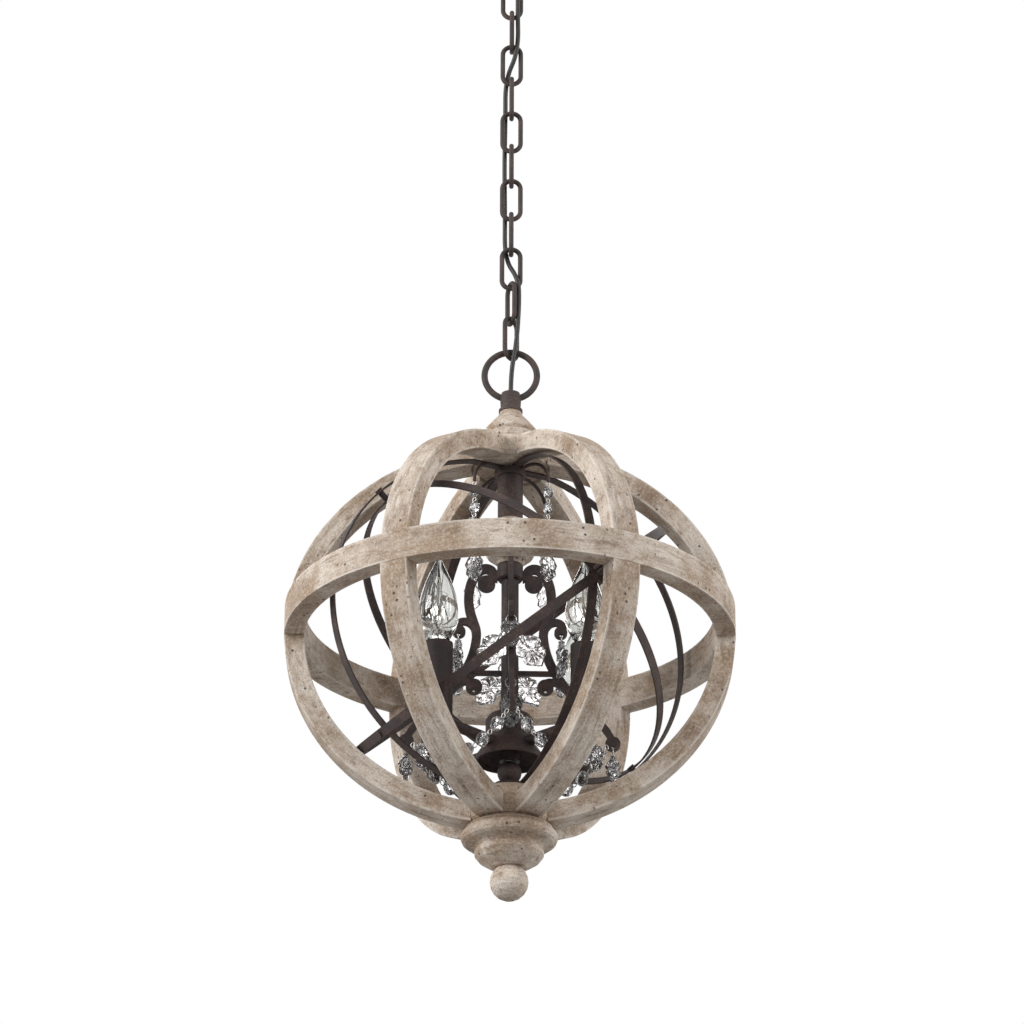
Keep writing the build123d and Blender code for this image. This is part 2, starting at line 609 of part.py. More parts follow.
def drops():
    """Leaf crystals on wire rings: below two tabs, below two low knobs, and a spray below each side curl."""
    ring = Pos(0, 0, -HOOK_R) * wire_ring(HOOK_R, 90)
    top = Pos(0, 0, LEAF_SUNK - 2 * HOOK_R - RING_WIRE_R)
    facing = Rot(0, 0, 90)
    short = ring + top * facing * leaf(25, 19) + top * Rot(0, 0, 25) * leaf(22, 14)
    long = ring + top * facing * leaf(40, 21) + top * Rot(0, 0, 25) * leaf(34, 13)
    spray = Rot(0, 0, 60) * leaf(22, 13)
    for lean, turn in ((-34, 15), (34, -15)):
        arm = Pos(0, 0, -5) * Rot(0, 0, 90) * bead(6.5)
        arm += Pos(0, 0, -10.5) * Rot(0, 0, 90 + turn) * leaf(38, 25)
        spray += Rot(lean, 0, 0) * arm
    spray = ring + top * spray
    places = (("tab_drop_right", 1, TAB_HOLE, short), ("tab_drop_left", 3, TAB_HOLE, short),
              ("knob_drop_front", 0, LOW_HOLE, long), ("knob_drop_rear", 2, LOW_HOLE, long),
              ("curl_drop_front", 0, SIDE_HOLE, spray), ("curl_drop_right", 1, SIDE_HOLE, spray),
              ("curl_drop_rear", 2, SIDE_HOLE, spray), ("curl_drop_left", 3, SIDE_HOLE, spray))
    for name, number, hole, drop in places:
        keep(name, round_at(FITTING_TURN + 90 * number, Pos(hole[0], 0, hole[1]) * drop))


ceiling_gear()
loops()
chain()
keep("cord_upper", cord(CORD_UPPER))
keep("cord_lower", cord(CORD_LOWER))
orb_frame()
bands()
stem()
fitting()
crystals()
drops()
for name, shape in parts.items():
    export_step(shape, f"parts/{name}.step")
print(len(parts), "nodes, hoop at Z", round(HOOP_Z, 3))
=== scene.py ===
"""Looks for the orb chandelier: limewashed wood, rust-brown iron, clear bulbs and cut crystals.

Everything is in metres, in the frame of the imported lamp: the ceiling is Z = 0 and the lamp hangs below it.
Heights named *_UP are millimetres above the middle of the hoop, as in the lamp's own drawing.
"""

import json
import math

import bpy
from mathutils import Matrix, Vector

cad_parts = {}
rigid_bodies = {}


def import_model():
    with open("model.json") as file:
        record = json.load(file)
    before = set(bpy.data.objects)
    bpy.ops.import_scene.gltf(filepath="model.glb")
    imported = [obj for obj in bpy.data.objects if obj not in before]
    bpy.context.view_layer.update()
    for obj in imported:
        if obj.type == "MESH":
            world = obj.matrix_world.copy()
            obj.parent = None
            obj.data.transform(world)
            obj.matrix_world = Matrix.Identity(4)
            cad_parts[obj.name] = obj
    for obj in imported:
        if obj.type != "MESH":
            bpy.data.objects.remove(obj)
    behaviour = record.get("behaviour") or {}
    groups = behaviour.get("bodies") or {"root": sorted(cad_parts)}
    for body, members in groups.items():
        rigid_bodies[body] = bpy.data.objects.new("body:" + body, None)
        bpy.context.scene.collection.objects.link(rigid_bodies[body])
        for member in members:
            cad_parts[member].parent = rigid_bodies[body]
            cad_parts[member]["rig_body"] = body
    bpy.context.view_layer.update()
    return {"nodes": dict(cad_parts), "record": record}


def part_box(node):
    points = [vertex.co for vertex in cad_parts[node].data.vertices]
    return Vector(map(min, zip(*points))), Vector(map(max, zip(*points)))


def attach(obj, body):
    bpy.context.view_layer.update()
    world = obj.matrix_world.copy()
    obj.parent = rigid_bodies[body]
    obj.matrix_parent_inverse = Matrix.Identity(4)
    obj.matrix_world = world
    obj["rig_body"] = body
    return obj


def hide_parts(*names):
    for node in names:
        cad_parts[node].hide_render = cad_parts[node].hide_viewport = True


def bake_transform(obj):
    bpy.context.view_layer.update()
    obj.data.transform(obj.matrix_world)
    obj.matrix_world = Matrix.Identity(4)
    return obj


bl_info = {
    "name": "Orb Chandelier",
    "version": (1, 0, 0),
    "blender": (4, 5, 0),
    "location": "3D View > Sidebar > Orb Chandelier",
    "description": "Finishes a wooden orb chandelier with its materials, bulbs, crystals, cord and studio",
    "category": "Object",
}

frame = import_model()
NODES = frame["nodes"]

HOOP_Z = -774.8        # millimetres from the ceiling down to the hoop's middle

# Middle lines and half sizes of the bent wood, in metres, for its grain.
RIB_MID_Z = (-9.0 + HOOP_Z) / 1000
RIB_MID_A, RIB_MID_B = 0.1935, 0.1765
RIB_HALF_W, WOOD_HALF_T = 0.0135, 0.009
HOOP_MID_R, HOOP_HALF_H = 0.194, 0.01385
WEAR_AND_HIGHLIGHT_IN, WEAR_AND_HIGHLIGHT_OUT = 0.0024, 0.0006     # how far in from an edge the lighter band, partly wear and partly painted highlight, starts and is whole
WORN_EDGE = 0.9                        # millimetres taken off a rib's sharp edges

DOUBLED = 1e-5         # metres: corners nearer than this are one corner
WIRE_FACE = 2.5e-6     # square metres: the faces of a crystal's wire ring are smaller than this
BEAD_RISES = (0.5,)    # millimetres that the facets of a bead, then of a leaf, stand proud
LEAF_RISES = (0.9, 0.3)

BULB_WALL = 0.00045    # metres
LEAD_THICK, FILAMENT_THICK = 0.5, 0.4  # millimetres
FILAMENT_REACH, FILAMENT_UP, FILAMENT_RISE, FILAMENT_WAVE = 3.6, 44, 3.0, 0.8
FILAMENT_STEPS = 30

CORD_UPPER = (
    (0, 0, 746), (0, 0, 731), (5.4, -5.5, 716), (6.0, -6.0, 691), (5.5, -5.4, 645), (6.3, -5.7, 598),
    (-6.0, 5.8, 572.5), (-5.9, 5.9, 530), (-6.3, 6.3, 504),
)
CORD_LOWER = (
    (-6.3, 6.3, 504), (-6.7, 6.7, 478), (-5.9, 5.9, 425), (-6.1, 5.9, 378), (6.9, -4.8, 351.5),
    (7.7, -4.7, 327), (5.4, -6.4, 285), (1.4, -5.9, 262), (0, 0, 243), (0, 0, 226),
)
CORD_D = 4.4
CHAIN_PIVOT_UP, CHAIN_BEND = 709.8, 9.0     # height of a swing pivot and a reach either side; the cord itself is made without a bend there
ORB_PIVOT_UP, ORB_BEND = 270.5, 14.0

CAMERA_BELOW = 23.531                       # degrees
CAMERA_PITCH, CAMERA_YAW, CAMERA_ROLL = 25.010, 0.024, 0.180
WORLD_LIGHT = 0.38                          # strength of the white surroundings as light


def place(x, y, up):
    """A point given in millimetres about the hoop's middle, in the lamp's frame in metres."""
    return Vector((x, y, up + HOOP_Z)) / 1000


def hue(text):
    """A colour written as six hex digits, as the linear red, green, blue that shaders take."""
    parts = [int(text[i:i + 2], 16) / 255 for i in (0, 2, 4)]
    return tuple(part / 12.92 if part <= 0.04045 else ((part + 0.055) / 1.055) ** 2.4 for part in parts)


# ---- sizes and colours a user would change ----
def colour(name, description, text):
    """A colour setting, its default written as six hex digits."""
    return bpy.props.FloatVectorProperty(name=name, description=description, default=hue(text), size=3,
                                         min=0.0, max=1.0, subtype="COLOR")


class OrbWoodSettings(bpy.types.PropertyGroup):
    limewash: colour("Limewash", "Pale wash on the proud parts of the wood", "dfd3c6")
    washed_wood: colour("Washed wood", "Wood seen through the wash", "a8927c")
    bare_wood: colour("Bare wood", "Wood where the wash is rubbed away", "7d624b")
    grain: colour("Grain", "Dark grain lines and pits", "3c2d25")
    wear: bpy.props.FloatProperty(name="Wear", description="How much bare wood shows", default=0.5,
                                  min=0.0, max=1.0, subtype="FACTOR")


class OrbMetalSettings(bpy.types.PropertyGroup):
    iron: colour("Iron", "Dark coat of the bands, stem and scrolls", "2a201f")
    rust: colour("Rust", "Brown bloom on the iron", "57453e")
    chain: colour("Chain", "Coat of chain, loops and ceiling plate", "2b2523")
    cord: colour("Cord", "Sheath of the cord", "17120f")


class OrbGlassSettings(bpy.types.PropertyGroup):
    bulb: colour("Bulb glass", "Tint of the bulbs", "ececea")
    crystal: colour("Crystal", "Tint of the crystals", "f2f2f3")
    # the facet colour is painted shade: dark reflections painted into the crystals' colour
    painted_dark_facet: colour("Facet", "Dark facets of the crystals", "5d5959")


class OrbStageSettings(bpy.types.PropertyGroup):
    camera_distance: bpy.props.FloatProperty(name="Camera distance", description="From the hoop's middle",
                                             default=4.0, min=1.0, max=10.0, unit="LENGTH")
    lens: bpy.props.FloatProperty(name="Focal length", description="For a 36 mm wide picture",
                                  default=156.09, min=20.0, max=400.0, unit="CAMERA")


# ---- shader maths ----
class Term:
    """One output of a shader node, ready for sums with other outputs and with numbers."""

    def __init__(self, graph, socket):
        self.graph = graph
        self.socket = socket

    def _sum(self, operation, *others):
        return self.graph.add("ShaderNodeMath", {"operation": operation}, dict(enumerate((self, *others))))

    def __add__(self, other):
        return self._sum("ADD", other)

    __radd__ = __add__

    def __mul__(self, other):
        return self._sum("MULTIPLY", other)

    __rmul__ = __mul__

    def __sub__(self, other):
        return self._sum("SUBTRACT", other)

    def __rsub__(self, other):
        return self.graph.add("ShaderNodeMath", {"operation": "SUBTRACT"}, {0: other, 1: self})

    def __pow__(self, other):
        return self._sum("POWER", other)

    def __abs__(self):
        return self._sum("ABSOLUTE")

    def least(self, other):
        return self._sum("MINIMUM", other)

    def most(self, other):
        return self._sum("MAXIMUM", other)

    def angle_from(self, other):
        """The angle whose tangent is this over the other."""
        return self._sum("ARCTAN2", other)

    def step(self, low, high):
        """0 below low, 1 above high, smooth between."""
        settings = {"interpolation_type": "SMOOTHSTEP", "clamp": True}
        inputs = {"Value": self, "From Min": low, "From Max": high}
        return self.graph.add("ShaderNodeMapRange", settings, inputs)


class Graph:
    """The nodes of one material."""

    def __init__(self, name):
        self.material = bpy.data.materials.new(name)
        self.material.use_nodes = True
        self.tree = self.material.node_tree
        self.tree.nodes.clear()
        self.object = self.add("ShaderNodeTexCoord", {}, {}, "Object")

    def add(self, kind, settings, inputs, output=0):
        """A node of a kind, its settings set first, then the values or links of its sockets."""
        node = self.tree.nodes.new(kind)
        for name, value in settings.items():
            setattr(node, name, value)
        for name, value in inputs.items():
            if isinstance(value, Term):
                self.tree.links.new(value.socket, node.inputs[name])
            else:
                node.inputs[name].default_value = value
        return Term(self, node.outputs[output]) if node.outputs else node

    def mix(self, factor, first, second):
        """The second colour over the first, as strongly as the factor says."""
        def full(value):
            return value if isinstance(value, Term) else (*value, 1)
        inputs = {0: factor, 6: full(first), 7: full(second)}
        return self.add("ShaderNodeMix", {"data_type": "RGBA"}, inputs, 2)

    def split(self, vector):
        """The x, y and z of a vector."""
        node = self.tree.nodes.new("ShaderNodeSeparateXYZ")
        self.tree.links.new(vector.socket, node.inputs[0])
        return [Term(self, socket) for socket in node.outputs]

    def join(self, x, y, z):
        return self.add("ShaderNodeCombineXYZ", {}, {0: x, 1: y, 2: z})

    def noise(self, vector, scale, detail=3.0, roughness=0.55, distortion=0.0):
        inputs = {"Vector": vector, "Scale": scale, "Detail": detail, "Roughness": roughness,
                  "Distortion": distortion}
        return self.add("ShaderNodeTexNoise", {}, inputs)

    def cells(self, vector, scale):
        """Distance to the nearest of many scattered points."""
        return self.add("ShaderNodeTexVoronoi", {}, {"Vector": vector, "Scale": scale})

    def bump(self, height, depth):
        """Small unevenness, as deep as given in metres."""
        return self.add("ShaderNodeBump", {}, {"Height": height, "Distance": depth, "Strength": 1.0})

    def surface(self, inputs):
        """Ends the material in one principled shader."""
        shader = self.add("ShaderNodeBsdfPrincipled", {}, inputs)
        self.add("ShaderNodeOutputMaterial", {}, {"Surface": shader})
        return self.material


# ---- materials ----
def rib_run(angle):
    """Coordinates along, across and through a rib that stands at an angle from the front."""
    turn = math.radians(angle)

    def run(graph):
        x, y, z = graph.split(graph.object)
        outward = x * math.sin(turn) - y * math.cos(turn)
        across = x * math.cos(turn) + y * math.sin(turn)
        rise = z - RIB_MID_Z
        along = rise.angle_from(outward) * RIB_MID_A
        flat = (outward * outward) * RIB_MID_A ** -2 + (rise * rise) * RIB_MID_B ** -2
        through = (flat ** 0.5 - 1.0) * RIB_MID_A
        return along, across, through, RIB_HALF_W

    return run


def hoop_run(graph):
    """Coordinates along, across and through the hoop."""
    x, y, z = graph.split(graph.object)
    along = y.angle_from(x) * HOOP_MID_R
    through = (x * x + y * y) ** 0.5 - HOOP_MID_R
    return along, z - HOOP_Z / 1000, through, HOOP_HALF_H


def turned_run(graph):
    """Coordinates of a turned piece, its grain level as in a flat-laid blank."""
    x, y, z = graph.split(graph.object)
    return x, z, y, None


def limewashed_wood(name, run, settings):
    """Wood with a rubbed pale wash: mottled patches, grain, bare spots, pits and lighter edges, partly wear
    and partly painted highlight.
    """
    graph = Graph(name)
    along, across, through, half_width = run(graph)
    spot = graph.join(along, across, through)
    drawn = graph.join(along * 0.16, across, through)
    mottle = graph.noise(spot, 15.0, 4.0, 0.6)
    patch = graph.noise(spot, 42.0, 5.0, 0.7, 0.6)
    fine = graph.noise(spot, 420.0, 3.0, 0.65)
    speck = graph.noise(spot, 900.0, 2.0, 0.6)
    streak = graph.noise(drawn, 150.0, 4.0, 0.65, 0.35)
    hair = graph.noise(drawn, 620.0, 2.0, 0.6)
    wash = (mottle * 0.9 + patch * 0.8 + streak * 0.25).step(0.84, 1.12)
    tone = graph.mix(wash, settings.washed_wood, settings.limewash)
    rubbed = (patch + streak * 0.6 - mottle * 0.55).step(0.58 - 0.14 * settings.wear, 0.74)
    tone = graph.mix(rubbed * 0.75, tone, settings.bare_wood)
    lines = (1 - streak.step(0.3, 0.5)) * 0.42 + (1 - hair.step(0.32, 0.52)) * 0.26
    tone = graph.mix(lines, tone, settings.bare_wood)
    grit = fine.step(0.42, 0.7)
    tone = graph.mix(grit * 0.34, tone, hue("efe7dc"))
    tone = graph.mix((1 - speck.step(0.3, 0.5)) * 0.62, tone, settings.bare_wood)
    pits = 1 - graph.cells(spot, 125.0).step(0.05, 0.2)
    chosen = graph.noise(spot, 60.0, 1.0).step(0.46, 0.58)
    pits = pits * chosen
    tone = graph.mix(pits * 0.85, tone, settings.grain)
    # lighter edges: partly wear, partly a painted highlight where the edges catch the light
    if half_width:
        side = abs(across).step(half_width - WEAR_AND_HIGHLIGHT_IN, half_width - WEAR_AND_HIGHLIGHT_OUT)
        face = abs(through).step(WOOD_HALF_T - WEAR_AND_HIGHLIGHT_IN, WOOD_HALF_T - WEAR_AND_HIGHLIGHT_OUT)
        edge = side.least(face) * patch.step(0.38, 0.6)
        tone = graph.mix(edge * 0.5, tone, hue("ece4d9"))
    height = streak * 0.5 + fine * 0.3 + patch * 0.5 - pits * 1.2
    return graph.surface({"Base Color": tone, "Roughness": 0.72 + 0.2 * wash,
                          "Normal": graph.bump(height, 0.0011), "Specular IOR Level": 0.3})


def coated_iron(name, dark, rust, grain=700.0):
    """Rough dark coat on iron, blooming brown, with fine pale specks."""
    graph = Graph(name)
    cloud = graph.noise(graph.object, 60.0, 4.0, 0.65)
    grit = graph.noise(graph.object, grain, 3.0, 0.7)
    tone = graph.mix((cloud * 0.7 + grit * 0.5).step(0.5, 0.82), dark, rust)
    flecks = grit.step(0.62, 0.74) * cloud.step(0.42, 0.7)
    tone = graph.mix(flecks * 0.4, tone, hue("8c776d"))
    return graph.surface({"Base Color": tone, "Roughness": 0.5 + 0.3 * cloud,
                          "Normal": graph.bump(grit * 0.7 + cloud * 0.5, 0.00045), "Metallic": 0.15})


def plated_steel(name):
    """Lightly brushed grey metal."""
    graph = Graph(name)
    brushed = graph.noise(graph.object, 400.0, 2.0)
    tone = graph.mix(brushed, hue("9a9a9a"), hue("c2c2c4"))
    return graph.surface({"Base Color": tone, "Metallic": 1.0, "Roughness": 0.3 + 0.2 * brushed})


def clear_glass(name, tint):
    """Clear glass, with painted grey shade in its colour where it is seen edge on."""
    graph = Graph(name)
    edge_on_painted_shade = graph.add("ShaderNodeLayerWeight", {}, {"Blend": 0.3}, "Facing")
    # the grey towards the rim is painted shade, standing in for the dark edges the glass refracts and
    # reflects
    tone = graph.mix(edge_on_painted_shade ** 2.0, tint, hue("6d6e6e"))
    return graph.surface({"Base Color": tone, "Roughness": 0.0, "IOR": 1.45, "Transmission Weight": 1.0})


def cut_crystal(name, tint, painted_dark_facet):
    """Faceted glass with painted reflections: bright, grey and dark facets painted into its colour by turns,
    on top of what it really mirrors.
    """
    graph = Graph(name)
    painted_reflection = graph.noise(graph.object, 330.0, 3.0, 0.7)
    cut = graph.cells(graph.object, 210.0)
    # bright, mid grey and dark facets here are painted highlights and painted shade standing in for
    # reflections
    tone = graph.mix(painted_reflection.step(0.46, 0.54), hue("918e8d"), tint)
    tone = graph.mix((1 - painted_reflection.step(0.36, 0.42)).most(cut.step(0.5, 0.62) * 0.8), tone, painted_dark_facet)
    return graph.surface({"Base Color": tone, "Roughness": 0.03, "IOR": 1.6, "Transmission Weight": 0.9,
                          "Normal": graph.bump(cut, 0.0004)})


def sheath(name, tint):
    """The cord's scuffed outside."""
    graph = Graph(name)
    scuff = graph.noise(graph.object, 250.0, 3.0)
    tone = graph.mix(scuff.step(0.45, 0.8) * 0.5, tint, hue("3a322d"))
    return graph.surface({"Base Color": tone, "Roughness": 0.42 + 0.15 * scuff,
                          "Normal": graph.bump(scuff, 0.0002)})


def moulded_black(name):
    """Dull black moulding of the sockets."""
    graph = Graph(name)
    grit = graph.noise(graph.object, 500.0, 2.0)
    tone = graph.mix(grit, hue("131212"), hue("242222"))
    return graph.surface({"Base Color": tone, "Roughness": 0.55})


def brass(name):
    """Stained yellow metal of the bulbs' screw caps."""
    graph = Graph(name)
    stain = graph.noise(graph.object, 300.0, 3.0)
    tone = graph.mix(stain, hue("b08d4e"), hue("d8bd83"))
    return graph.surface({"Base Color": tone, "Metallic": 1.0, "Roughness": 0.25 + 0.2 * stain})


def bright_wire(name):
    """Polished wire."""
    graph = Graph(name)
    stain = graph.noise(graph.object, 600.0, 2.0)
    tone = graph.mix(stain, hue("8d8a86"), hue("dcdad6"))
    return graph.surface({"Base Color": tone, "Metallic": 1.0, "Roughness": 0.22})


# ---- pieces ----
def named(slot):
    """The lamp's nodes that take their finish from one of the record's material slots."""
    return [entry["node"] for entry in frame["record"]["subparts"] if entry["material_slot"] == slot]


def dress(material, *pieces):
    """Gives pieces a material."""
    for piece in pieces:
        piece.data.materials.clear()
        piece.data.materials.append(material)


def activate(piece):
    """Links a piece and opens it for editing, everything in it chosen."""
    if piece.name not in bpy.context.collection.objects:
        bpy.context.collection.objects.link(piece)
    bpy.ops.object.select_all(action="DESELECT")
    piece.select_set(True)
    bpy.context.view_layer.objects.active = piece
    bpy.ops.object.mode_set(mode="EDIT")
    bpy.ops.mesh.select_all(action="SELECT")


def close(piece, angle):
    """Joins doubled corners, turns the faces outwards and smooths shallow edges."""
    bpy.ops.mesh.select_all(action="SELECT")
    bpy.ops.mesh.remove_doubles(threshold=DOUBLED)
    bpy.ops.mesh.normals_make_consistent(inside=False)
    bpy.ops.object.mode_set(mode="OBJECT")
    bpy.ops.object.shade_smooth_by_angle(angle=math.radians(angle))


def merged_copy(name):
    """A node's shape as a piece of its own, that stands for it and moves with its body."""
    piece = bpy.data.objects.new(f"{name}_look", NODES[name].data.copy())
    activate(piece)
    bpy.ops.mesh.remove_doubles(threshold=DOUBLED)
    bpy.ops.object.mode_set(mode="OBJECT")
    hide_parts(name)
    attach(piece, NODES[name]["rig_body"])
    return piece


def softened(name, width):
    """A copy of a wooden node with its sharp edges worn round."""
    piece = merged_copy(name)
    activate(piece)
    bpy.ops.mesh.dissolve_limited(angle_limit=math.radians(0.5))
    bpy.ops.mesh.select_mode(type="EDGE")
    bpy.ops.mesh.select_all(action="DESELECT")
    bpy.ops.mesh.edges_select_sharp(sharpness=math.radians(48))
    bpy.ops.mesh.bevel(offset=width / 1000, segments=2, clamp_overlap=False)
    close(piece, 24)
    return piece


def faceted(name, rises, glass, metal):
    """A copy of a crystal, its flats cut into facets once for each rise in millimetres, its wire bright."""
    piece = merged_copy(name)
    activate(piece)
    bpy.ops.mesh.dissolve_limited(angle_limit=math.radians(1))
    bpy.ops.mesh.select_mode(type="FACE")
    bpy.ops.mesh.select_all(action="DESELECT")
    bpy.ops.object.mode_set(mode="OBJECT")
    piece.data.materials.clear()
    piece.data.materials.append(glass)
    piece.data.materials.append(metal)
    for face in piece.data.polygons:
        face.material_index = 1 if face.area < WIRE_FACE else 0
    for rise in rises:
        for face in piece.data.polygons:
            face.select = face.material_index == 0
        bpy.ops.object.mode_set(mode="EDIT")
        bpy.ops.mesh.poke(offset=rise / 1000)
        bpy.ops.object.mode_set(mode="OBJECT")
    bpy.ops.object.shade_flat()
    return piece


def lathe(name, profile, spot, steps=20):
    """A turned piece: pairs of radius and height in millimetres, spun about an upright line at a spot."""
    data = bpy.data.meshes.new(name)
    data.from_pydata([spot + Vector((radius, 0, height)) / 1000 for radius, height in profile],
                     [(index, index + 1) for index in range(len(profile) - 1)], [])
    piece = bpy.data.objects.new(name, data)
    activate(piece)
    bpy.ops.mesh.spin(steps=steps, angle=math.tau, center=spot, axis=(0, 0, 1))
    close(piece, 40)
    return piece


def wire(name, points, thickness):
    """A round wire of a thickness in millimetres through points in metres."""
    data = bpy.data.curves.new(name, "CURVE")
    data.dimensions = "3D"
    data.bevel_depth = thickness / 2000
    data.bevel_resolution = 2
    data.use_fill_caps = True
    line = data.splines.new("POLY")
    line.points.add(len(points) - 1)
    for control, point in zip(line.points, points):
        control.co = (*point, 1)
    curve = bpy.data.objects.new(f"{name}_line", data)
    bpy.context.collection.objects.link(curve)
    bpy.context.view_layer.update()
    mesh = bpy.data.meshes.new_from_object(curve.evaluated_get(bpy.context.evaluated_depsgraph_get()))
    bpy.data.objects.remove(curve)
    piece = bpy.data.objects.new(name, mesh)
    activate(piece)
    close(piece, 50)
    return piece


class ORB_OT_wood(bpy.types.Operator):
    """Finishes ribs, hoop, hubs and turned pieces in limewashed wood"""
    bl_idname = "orb.wood"
    bl_label = "Wood"

    def execute(self, context):
        settings = context.scene.orb_wood
        for number in range(6):
            name = f"rib_{number + 1}"
            dress(limewashed_wood(name, rib_run(30 + 60 * number), settings), softened(name, WORN_EDGE))
        dress(limewashed_wood("hoop", hoop_run, settings), NODES["equator_hoop"])
        turned = limewashed_wood("turned_wood", turned_run, settings)
        pieces = ("dome_cap", "top_hub", "bottom_hub", "finial", "wood_vase")
        dress(turned, *(NODES[name] for name in pieces))
        return {"FINISHED"}


class ORB_OT_metal(bpy.types.Operator):
    """Finishes bands, stem, scrolls, chain and ceiling gear"""
    bl_idname = "orb.metal"
    bl_label = "Metal"

    def execute(self, context):
        settings = context.scene.orb_metal
        finishes = (("rust_iron", coated_iron("iron", settings.iron, settings.rust)),
                    ("hanging_metal", coated_iron("hanging_gear", settings.chain, settings.rust, 900.0)),
                    ("plain_steel", plated_steel("plated_steel")),
                    ("socket_plastic", moulded_black("socket_black")),
                    ("lamp_cap", brass("cap_brass")))
        for slot, material in finishes:
            dress(material, *(NODES[name] for name in named(slot)))
        # the candle sleeves take a darker copy of the iron: painted shade for their place deep inside the
        # orb
        dress(coated_iron("shaded_sleeve_iron", hue("1c1413"), hue("3b2c28")), NODES["candle_sleeves"])
        return {"FINISHED"}


class ORB_OT_bulbs(bpy.types.Operator):
    """Makes the flame bulbs: a thin clear shell round a glass stem, two lead wires and a filament"""
    bl_idname = "orb.bulbs"
    bl_label = "Bulbs"

    # Radius and height of the stem, and reach and height of a lead, above the foot of the glass.
    STEM = ((0, 0.8), (4.6, 0.8), (4.2, 6), (2.6, 13), (2.0, 22), (2.4, 25), (1.8, 27.5), (0, 28))
    LEAD = ((0.9, 24), (1.2, 30), (3.0, 38), (3.6, 44))

    def execute(self, context):
        glass = clear_glass("bulb_glass_clear", context.scene.orb_glass.bulb)
        leads = bright_wire("lead_wire")
        for name in named("bulb_glass"):
            low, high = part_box(name)
            spot = Vector(((low[0] + high[0]) / 2, (low[1] + high[1]) / 2, low[2]))
            shell = merged_copy(name)
            self.hollow(shell)
            stem = lathe(f"{name}_stem", self.STEM, spot)
            dress(glass, shell, stem)
            wires = []
            for number, side in enumerate((-1, 1)):
                path = [spot + Vector((side * across, 0, up)) / 1000 for across, up in self.LEAD]
                wires.append(wire(f"{name}_lead_{number + 1}", path, LEAD_THICK))
            coil = [spot + self.filament_point(step) / 1000 for step in range(FILAMENT_STEPS + 1)]
            wires.append(wire(f"{name}_filament", coil, FILAMENT_THICK))
            dress(leads, *wires)
            for piece in (stem, *wires):
                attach(piece, NODES[name]["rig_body"])
        return {"FINISHED"}

    @staticmethod
    def filament_point(step):
        """A point of the filament, a wavy arch between the tips of the leads, in millimetres."""
        turn = step / FILAMENT_STEPS * math.pi
        return Vector((FILAMENT_REACH * math.cos(turn), FILAMENT_WAVE * math.sin(step * 0.9),
                       FILAMENT_UP + FILAMENT_RISE * math.sin(turn)))

    @staticmethod
    def hollow(shell):
        """Thins a solid bulb to a shell."""
        bpy.context.view_layer.objects.active = shell
        wall = shell.modifiers.new("wall", "SOLIDIFY")
        wall.thickness = BULB_WALL
        wall.offset = -1.0
        bpy.ops.object.modifier_apply(modifier=wall.name)
        activate(shell)
        close(shell, 45)


class ORB_OT_crystals(bpy.types.Operator):
    """Finishes beads, drops and their wire rings"""
    bl_idname = "orb.crystals"
    bl_label = "Crystals"

    def execute(self, context):
        settings = context.scene.orb_glass
        crystal = cut_crystal("cut_crystal", settings.crystal, settings.painted_dark_facet)
        wire_metal = bright_wire("ring_wire")
        for name in named("crystal"):
            faceted(name, BEAD_RISES if name.endswith("beads") else LEAF_RISES, crystal, wire_metal)
        dress(wire_metal, NODES["crystal_rings"])
        return {"FINISHED"}


def cord_line(name, points):
    """A round cord on one smooth line through the given control points."""
    data = bpy.data.curves.new(name, "CURVE")
    data.dimensions = "3D"
    data.bevel_depth = CORD_D / 2000
    data.bevel_resolution = 4
    data.resolution_u = 16
    data.use_fill_caps = True
    line = data.splines.new("NURBS")
    line.points.add(len(points) - 1)
    for control, point in zip(line.points, points):
        control.co = (*place(*point), 1)
    line.order_u = 3
    line.use_endpoint_u = True
    piece = bpy.data.objects.new(name, data)
    bpy.context.collection.objects.link(piece)
    return piece


class ORB_OT_cord(bpy.types.Operator):
    """Makes the cord that runs down through the chain"""
    bl_idname = "orb.cord"
    bl_label = "Cord"

    def execute(self, context):
        black = sheath("cord_sheath", context.scene.orb_metal.cord)
        runs = (("cord_upper", CORD_UPPER, "canopy", "chain", CHAIN_PIVOT_UP, CHAIN_BEND),
                ("cord_lower", CORD_LOWER, "chain", "orb", ORB_PIVOT_UP, ORB_BEND))
        for name, points, above, below, pivot, reach in runs:
            line = cord_line(f"{name}_line", points)
            bare = line.data.copy()
            bare.bevel_depth = 0.0
            probe = bpy.data.objects.new("probe", bare)
            bpy.context.collection.objects.link(probe)
            context.view_layer.update()
            mesh = bpy.data.meshes.new_from_object(probe.evaluated_get(context.evaluated_depsgraph_get()))
            bpy.data.objects.remove(probe)
            tube = bpy.data.meshes.new_from_object(line.evaluated_get(context.evaluated_depsgraph_get()))
            bpy.data.objects.remove(line)
            piece = bpy.data.objects.new(f"{name}_sheath", tube)
            bpy.context.collection.objects.link(piece)
            tube.materials.clear()
            tube.materials.append(black)
            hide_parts(name)
            place(0, 0, pivot + reach)
            place(0, 0, pivot - reach)
            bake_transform(piece)
            place(*points[0])
        return {"FINISHED"}


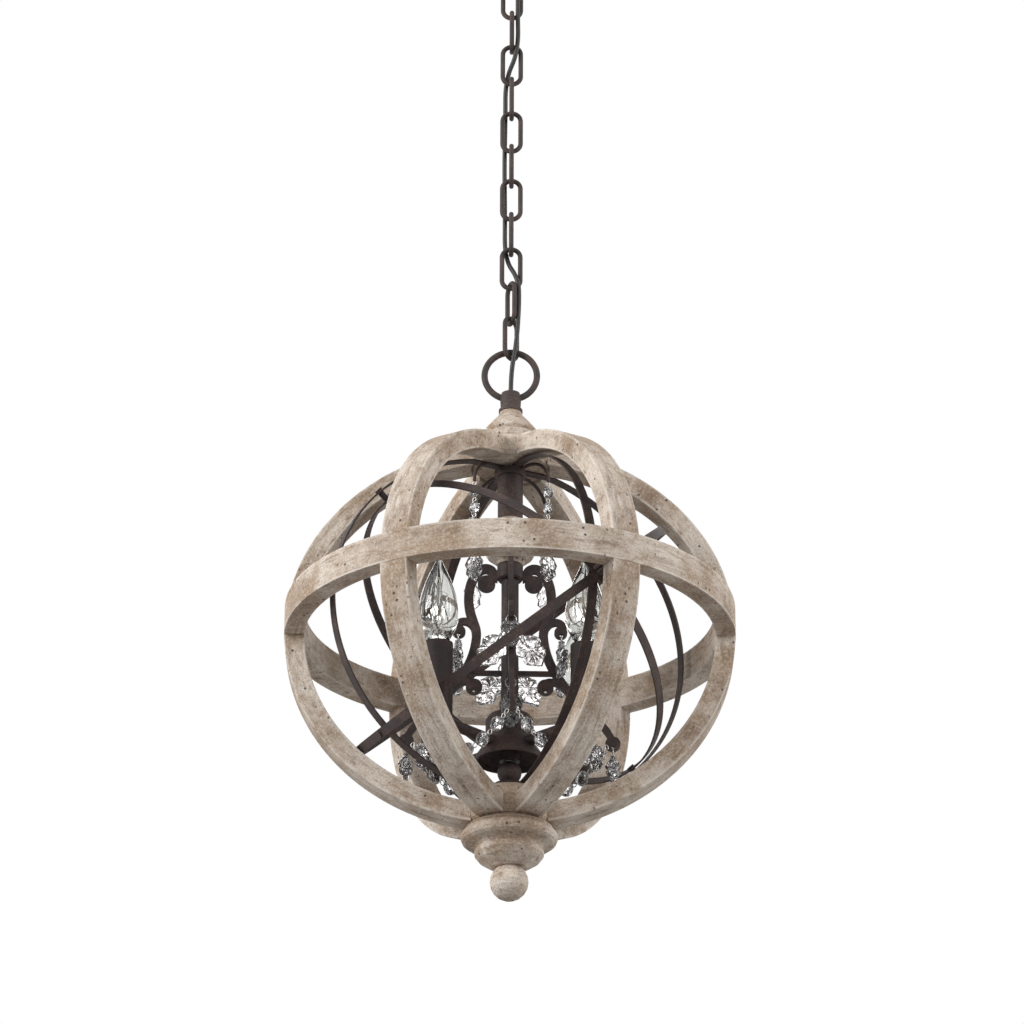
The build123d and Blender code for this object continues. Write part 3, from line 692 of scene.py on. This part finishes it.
class ORB_OT_stage(bpy.types.Operator):
    """Sets up backdrop, lamps and camera"""
    bl_idname = "orb.stage"
    bl_label = "Stage"

    def execute(self, context):
        settings = context.scene.orb_stage
        scene = context.scene
        scene.view_settings.view_transform = "Standard"
        self.set_camera(scene, settings)
        self.set_world(scene)
        lamps = (
            ("key_left", (-2.7, -1.5, 0.4), (1.5, 2.4), 95.0),
            ("key_right", (2.5, -1.3, 0.2), (1.5, 2.4), 46.0),
            ("low_fill", (0.0, -3.2, -2.2), (1.8, 1.0), 3.0),
            ("back_top", (0.2, 2.2, 0.6), (2.4, 1.4), 30.0),
        )
        for name, spot, size, power in lamps:
            self.add_lamp(name, Vector(spot), size, power)
        return {"FINISHED"}

    def set_camera(self, scene, settings):
        """Below the lamp and in front of it, looking up, as in the photograph."""
        below = math.radians(CAMERA_BELOW)
        pitch, yaw, roll = math.radians(CAMERA_PITCH), math.radians(CAMERA_YAW), math.radians(CAMERA_ROLL)
        spot = Vector((0, -math.cos(below), -math.sin(below))) * settings.camera_distance + place(0, 0, 0)
        ahead = Vector((math.sin(yaw) * math.cos(pitch), math.cos(yaw) * math.cos(pitch), math.sin(pitch)))
        right = Vector((math.cos(yaw), -math.sin(yaw), 0))
        over = right.cross(ahead)
        right, over = (right * math.cos(roll) + over * math.sin(roll),
                       over * math.cos(roll) - right * math.sin(roll))
        data = bpy.data.cameras.new("camera")
        data.lens = settings.lens
        data.sensor_width = 36.0
        data.clip_end = 100.0
        camera = bpy.data.objects.new("camera", data)
        turn = Matrix((right, over, -ahead)).transposed().to_4x4()
        camera.matrix_world = Matrix.Translation(spot) @ turn
        scene.collection.objects.link(camera)
        scene.camera = camera

    def set_world(self, scene):
        """White for the camera and in reflections, a softer grey as light."""
        world = bpy.data.worlds.new("studio")
        world.use_nodes = True
        tree = world.node_tree
        tree.nodes.clear()
        seen = tree.nodes.new("ShaderNodeLightPath")
        most = seen.outputs["Is Camera Ray"]
        for ray in ("Is Glossy Ray", "Is Transmission Ray"):
            either = tree.nodes.new("ShaderNodeMath")
            either.operation = "MAXIMUM"
            tree.links.new(most, either.inputs[0])
            tree.links.new(seen.outputs[ray], either.inputs[1])
            most = either.outputs[0]
        strength = tree.nodes.new("ShaderNodeMapRange")
        strength.inputs["To Min"].default_value = WORLD_LIGHT
        strength.inputs["To Max"].default_value = 1.0
        light = tree.nodes.new("ShaderNodeBackground")
        ending = tree.nodes.new("ShaderNodeOutputWorld")
        tree.links.new(most, strength.inputs["Value"])
        tree.links.new(strength.outputs[0], light.inputs["Strength"])
        tree.links.new(light.outputs[0], ending.inputs["Surface"])
        light.inputs["Color"].default_value = (1, 1, 1, 1)
        scene.world = world

    def add_lamp(self, name, spot, size, power):
        """A rectangular lamp that faces the hoop's middle."""
        data = bpy.data.lights.new(name, "AREA")
        data.shape = "RECTANGLE"
        data.size, data.size_y = size
        data.energy = power
        lamp = bpy.data.objects.new(name, data)
        lamp.location = spot
        lamp.rotation_mode = "QUATERNION"
        lamp.rotation_quaternion = (place(0, 0, 0) - spot).to_track_quat("-Z", "Y")
        bpy.context.scene.collection.objects.link(lamp)


class ORB_PT_panel(bpy.types.Panel):
    """Lists the chandelier's operators"""
    bl_idname = "ORB_PT_panel"
    bl_label = "Orb Chandelier"
    bl_space_type = "VIEW_3D"
    bl_region_type = "UI"
    bl_category = "Orb Chandelier"

    def draw(self, context):
        for operator in OPERATORS:
            self.layout.operator(operator.bl_idname)


OPERATORS = (ORB_OT_stage, ORB_OT_wood, ORB_OT_metal, ORB_OT_bulbs, ORB_OT_crystals, ORB_OT_cord)
SETTINGS = (("orb_wood", OrbWoodSettings), ("orb_metal", OrbMetalSettings), ("orb_glass", OrbGlassSettings),
            ("orb_stage", OrbStageSettings))


def register():
    for name, group in SETTINGS:
        bpy.utils.register_class(group)
        setattr(bpy.types.Scene, name, bpy.props.PointerProperty(type=group))
    for kind in (*OPERATORS, ORB_PT_panel):
        bpy.utils.register_class(kind)


def unregister():
    for kind in reversed((*OPERATORS, ORB_PT_panel)):
        bpy.utils.unregister_class(kind)
    for name, group in reversed(SETTINGS):
        delattr(bpy.types.Scene, name)
        bpy.utils.unregister_class(group)


def main():
    register()
    for operator in OPERATORS:
        family, name = operator.bl_idname.split(".")
        getattr(getattr(bpy.ops, family), name)()


if __name__ == "__main__":
    main()
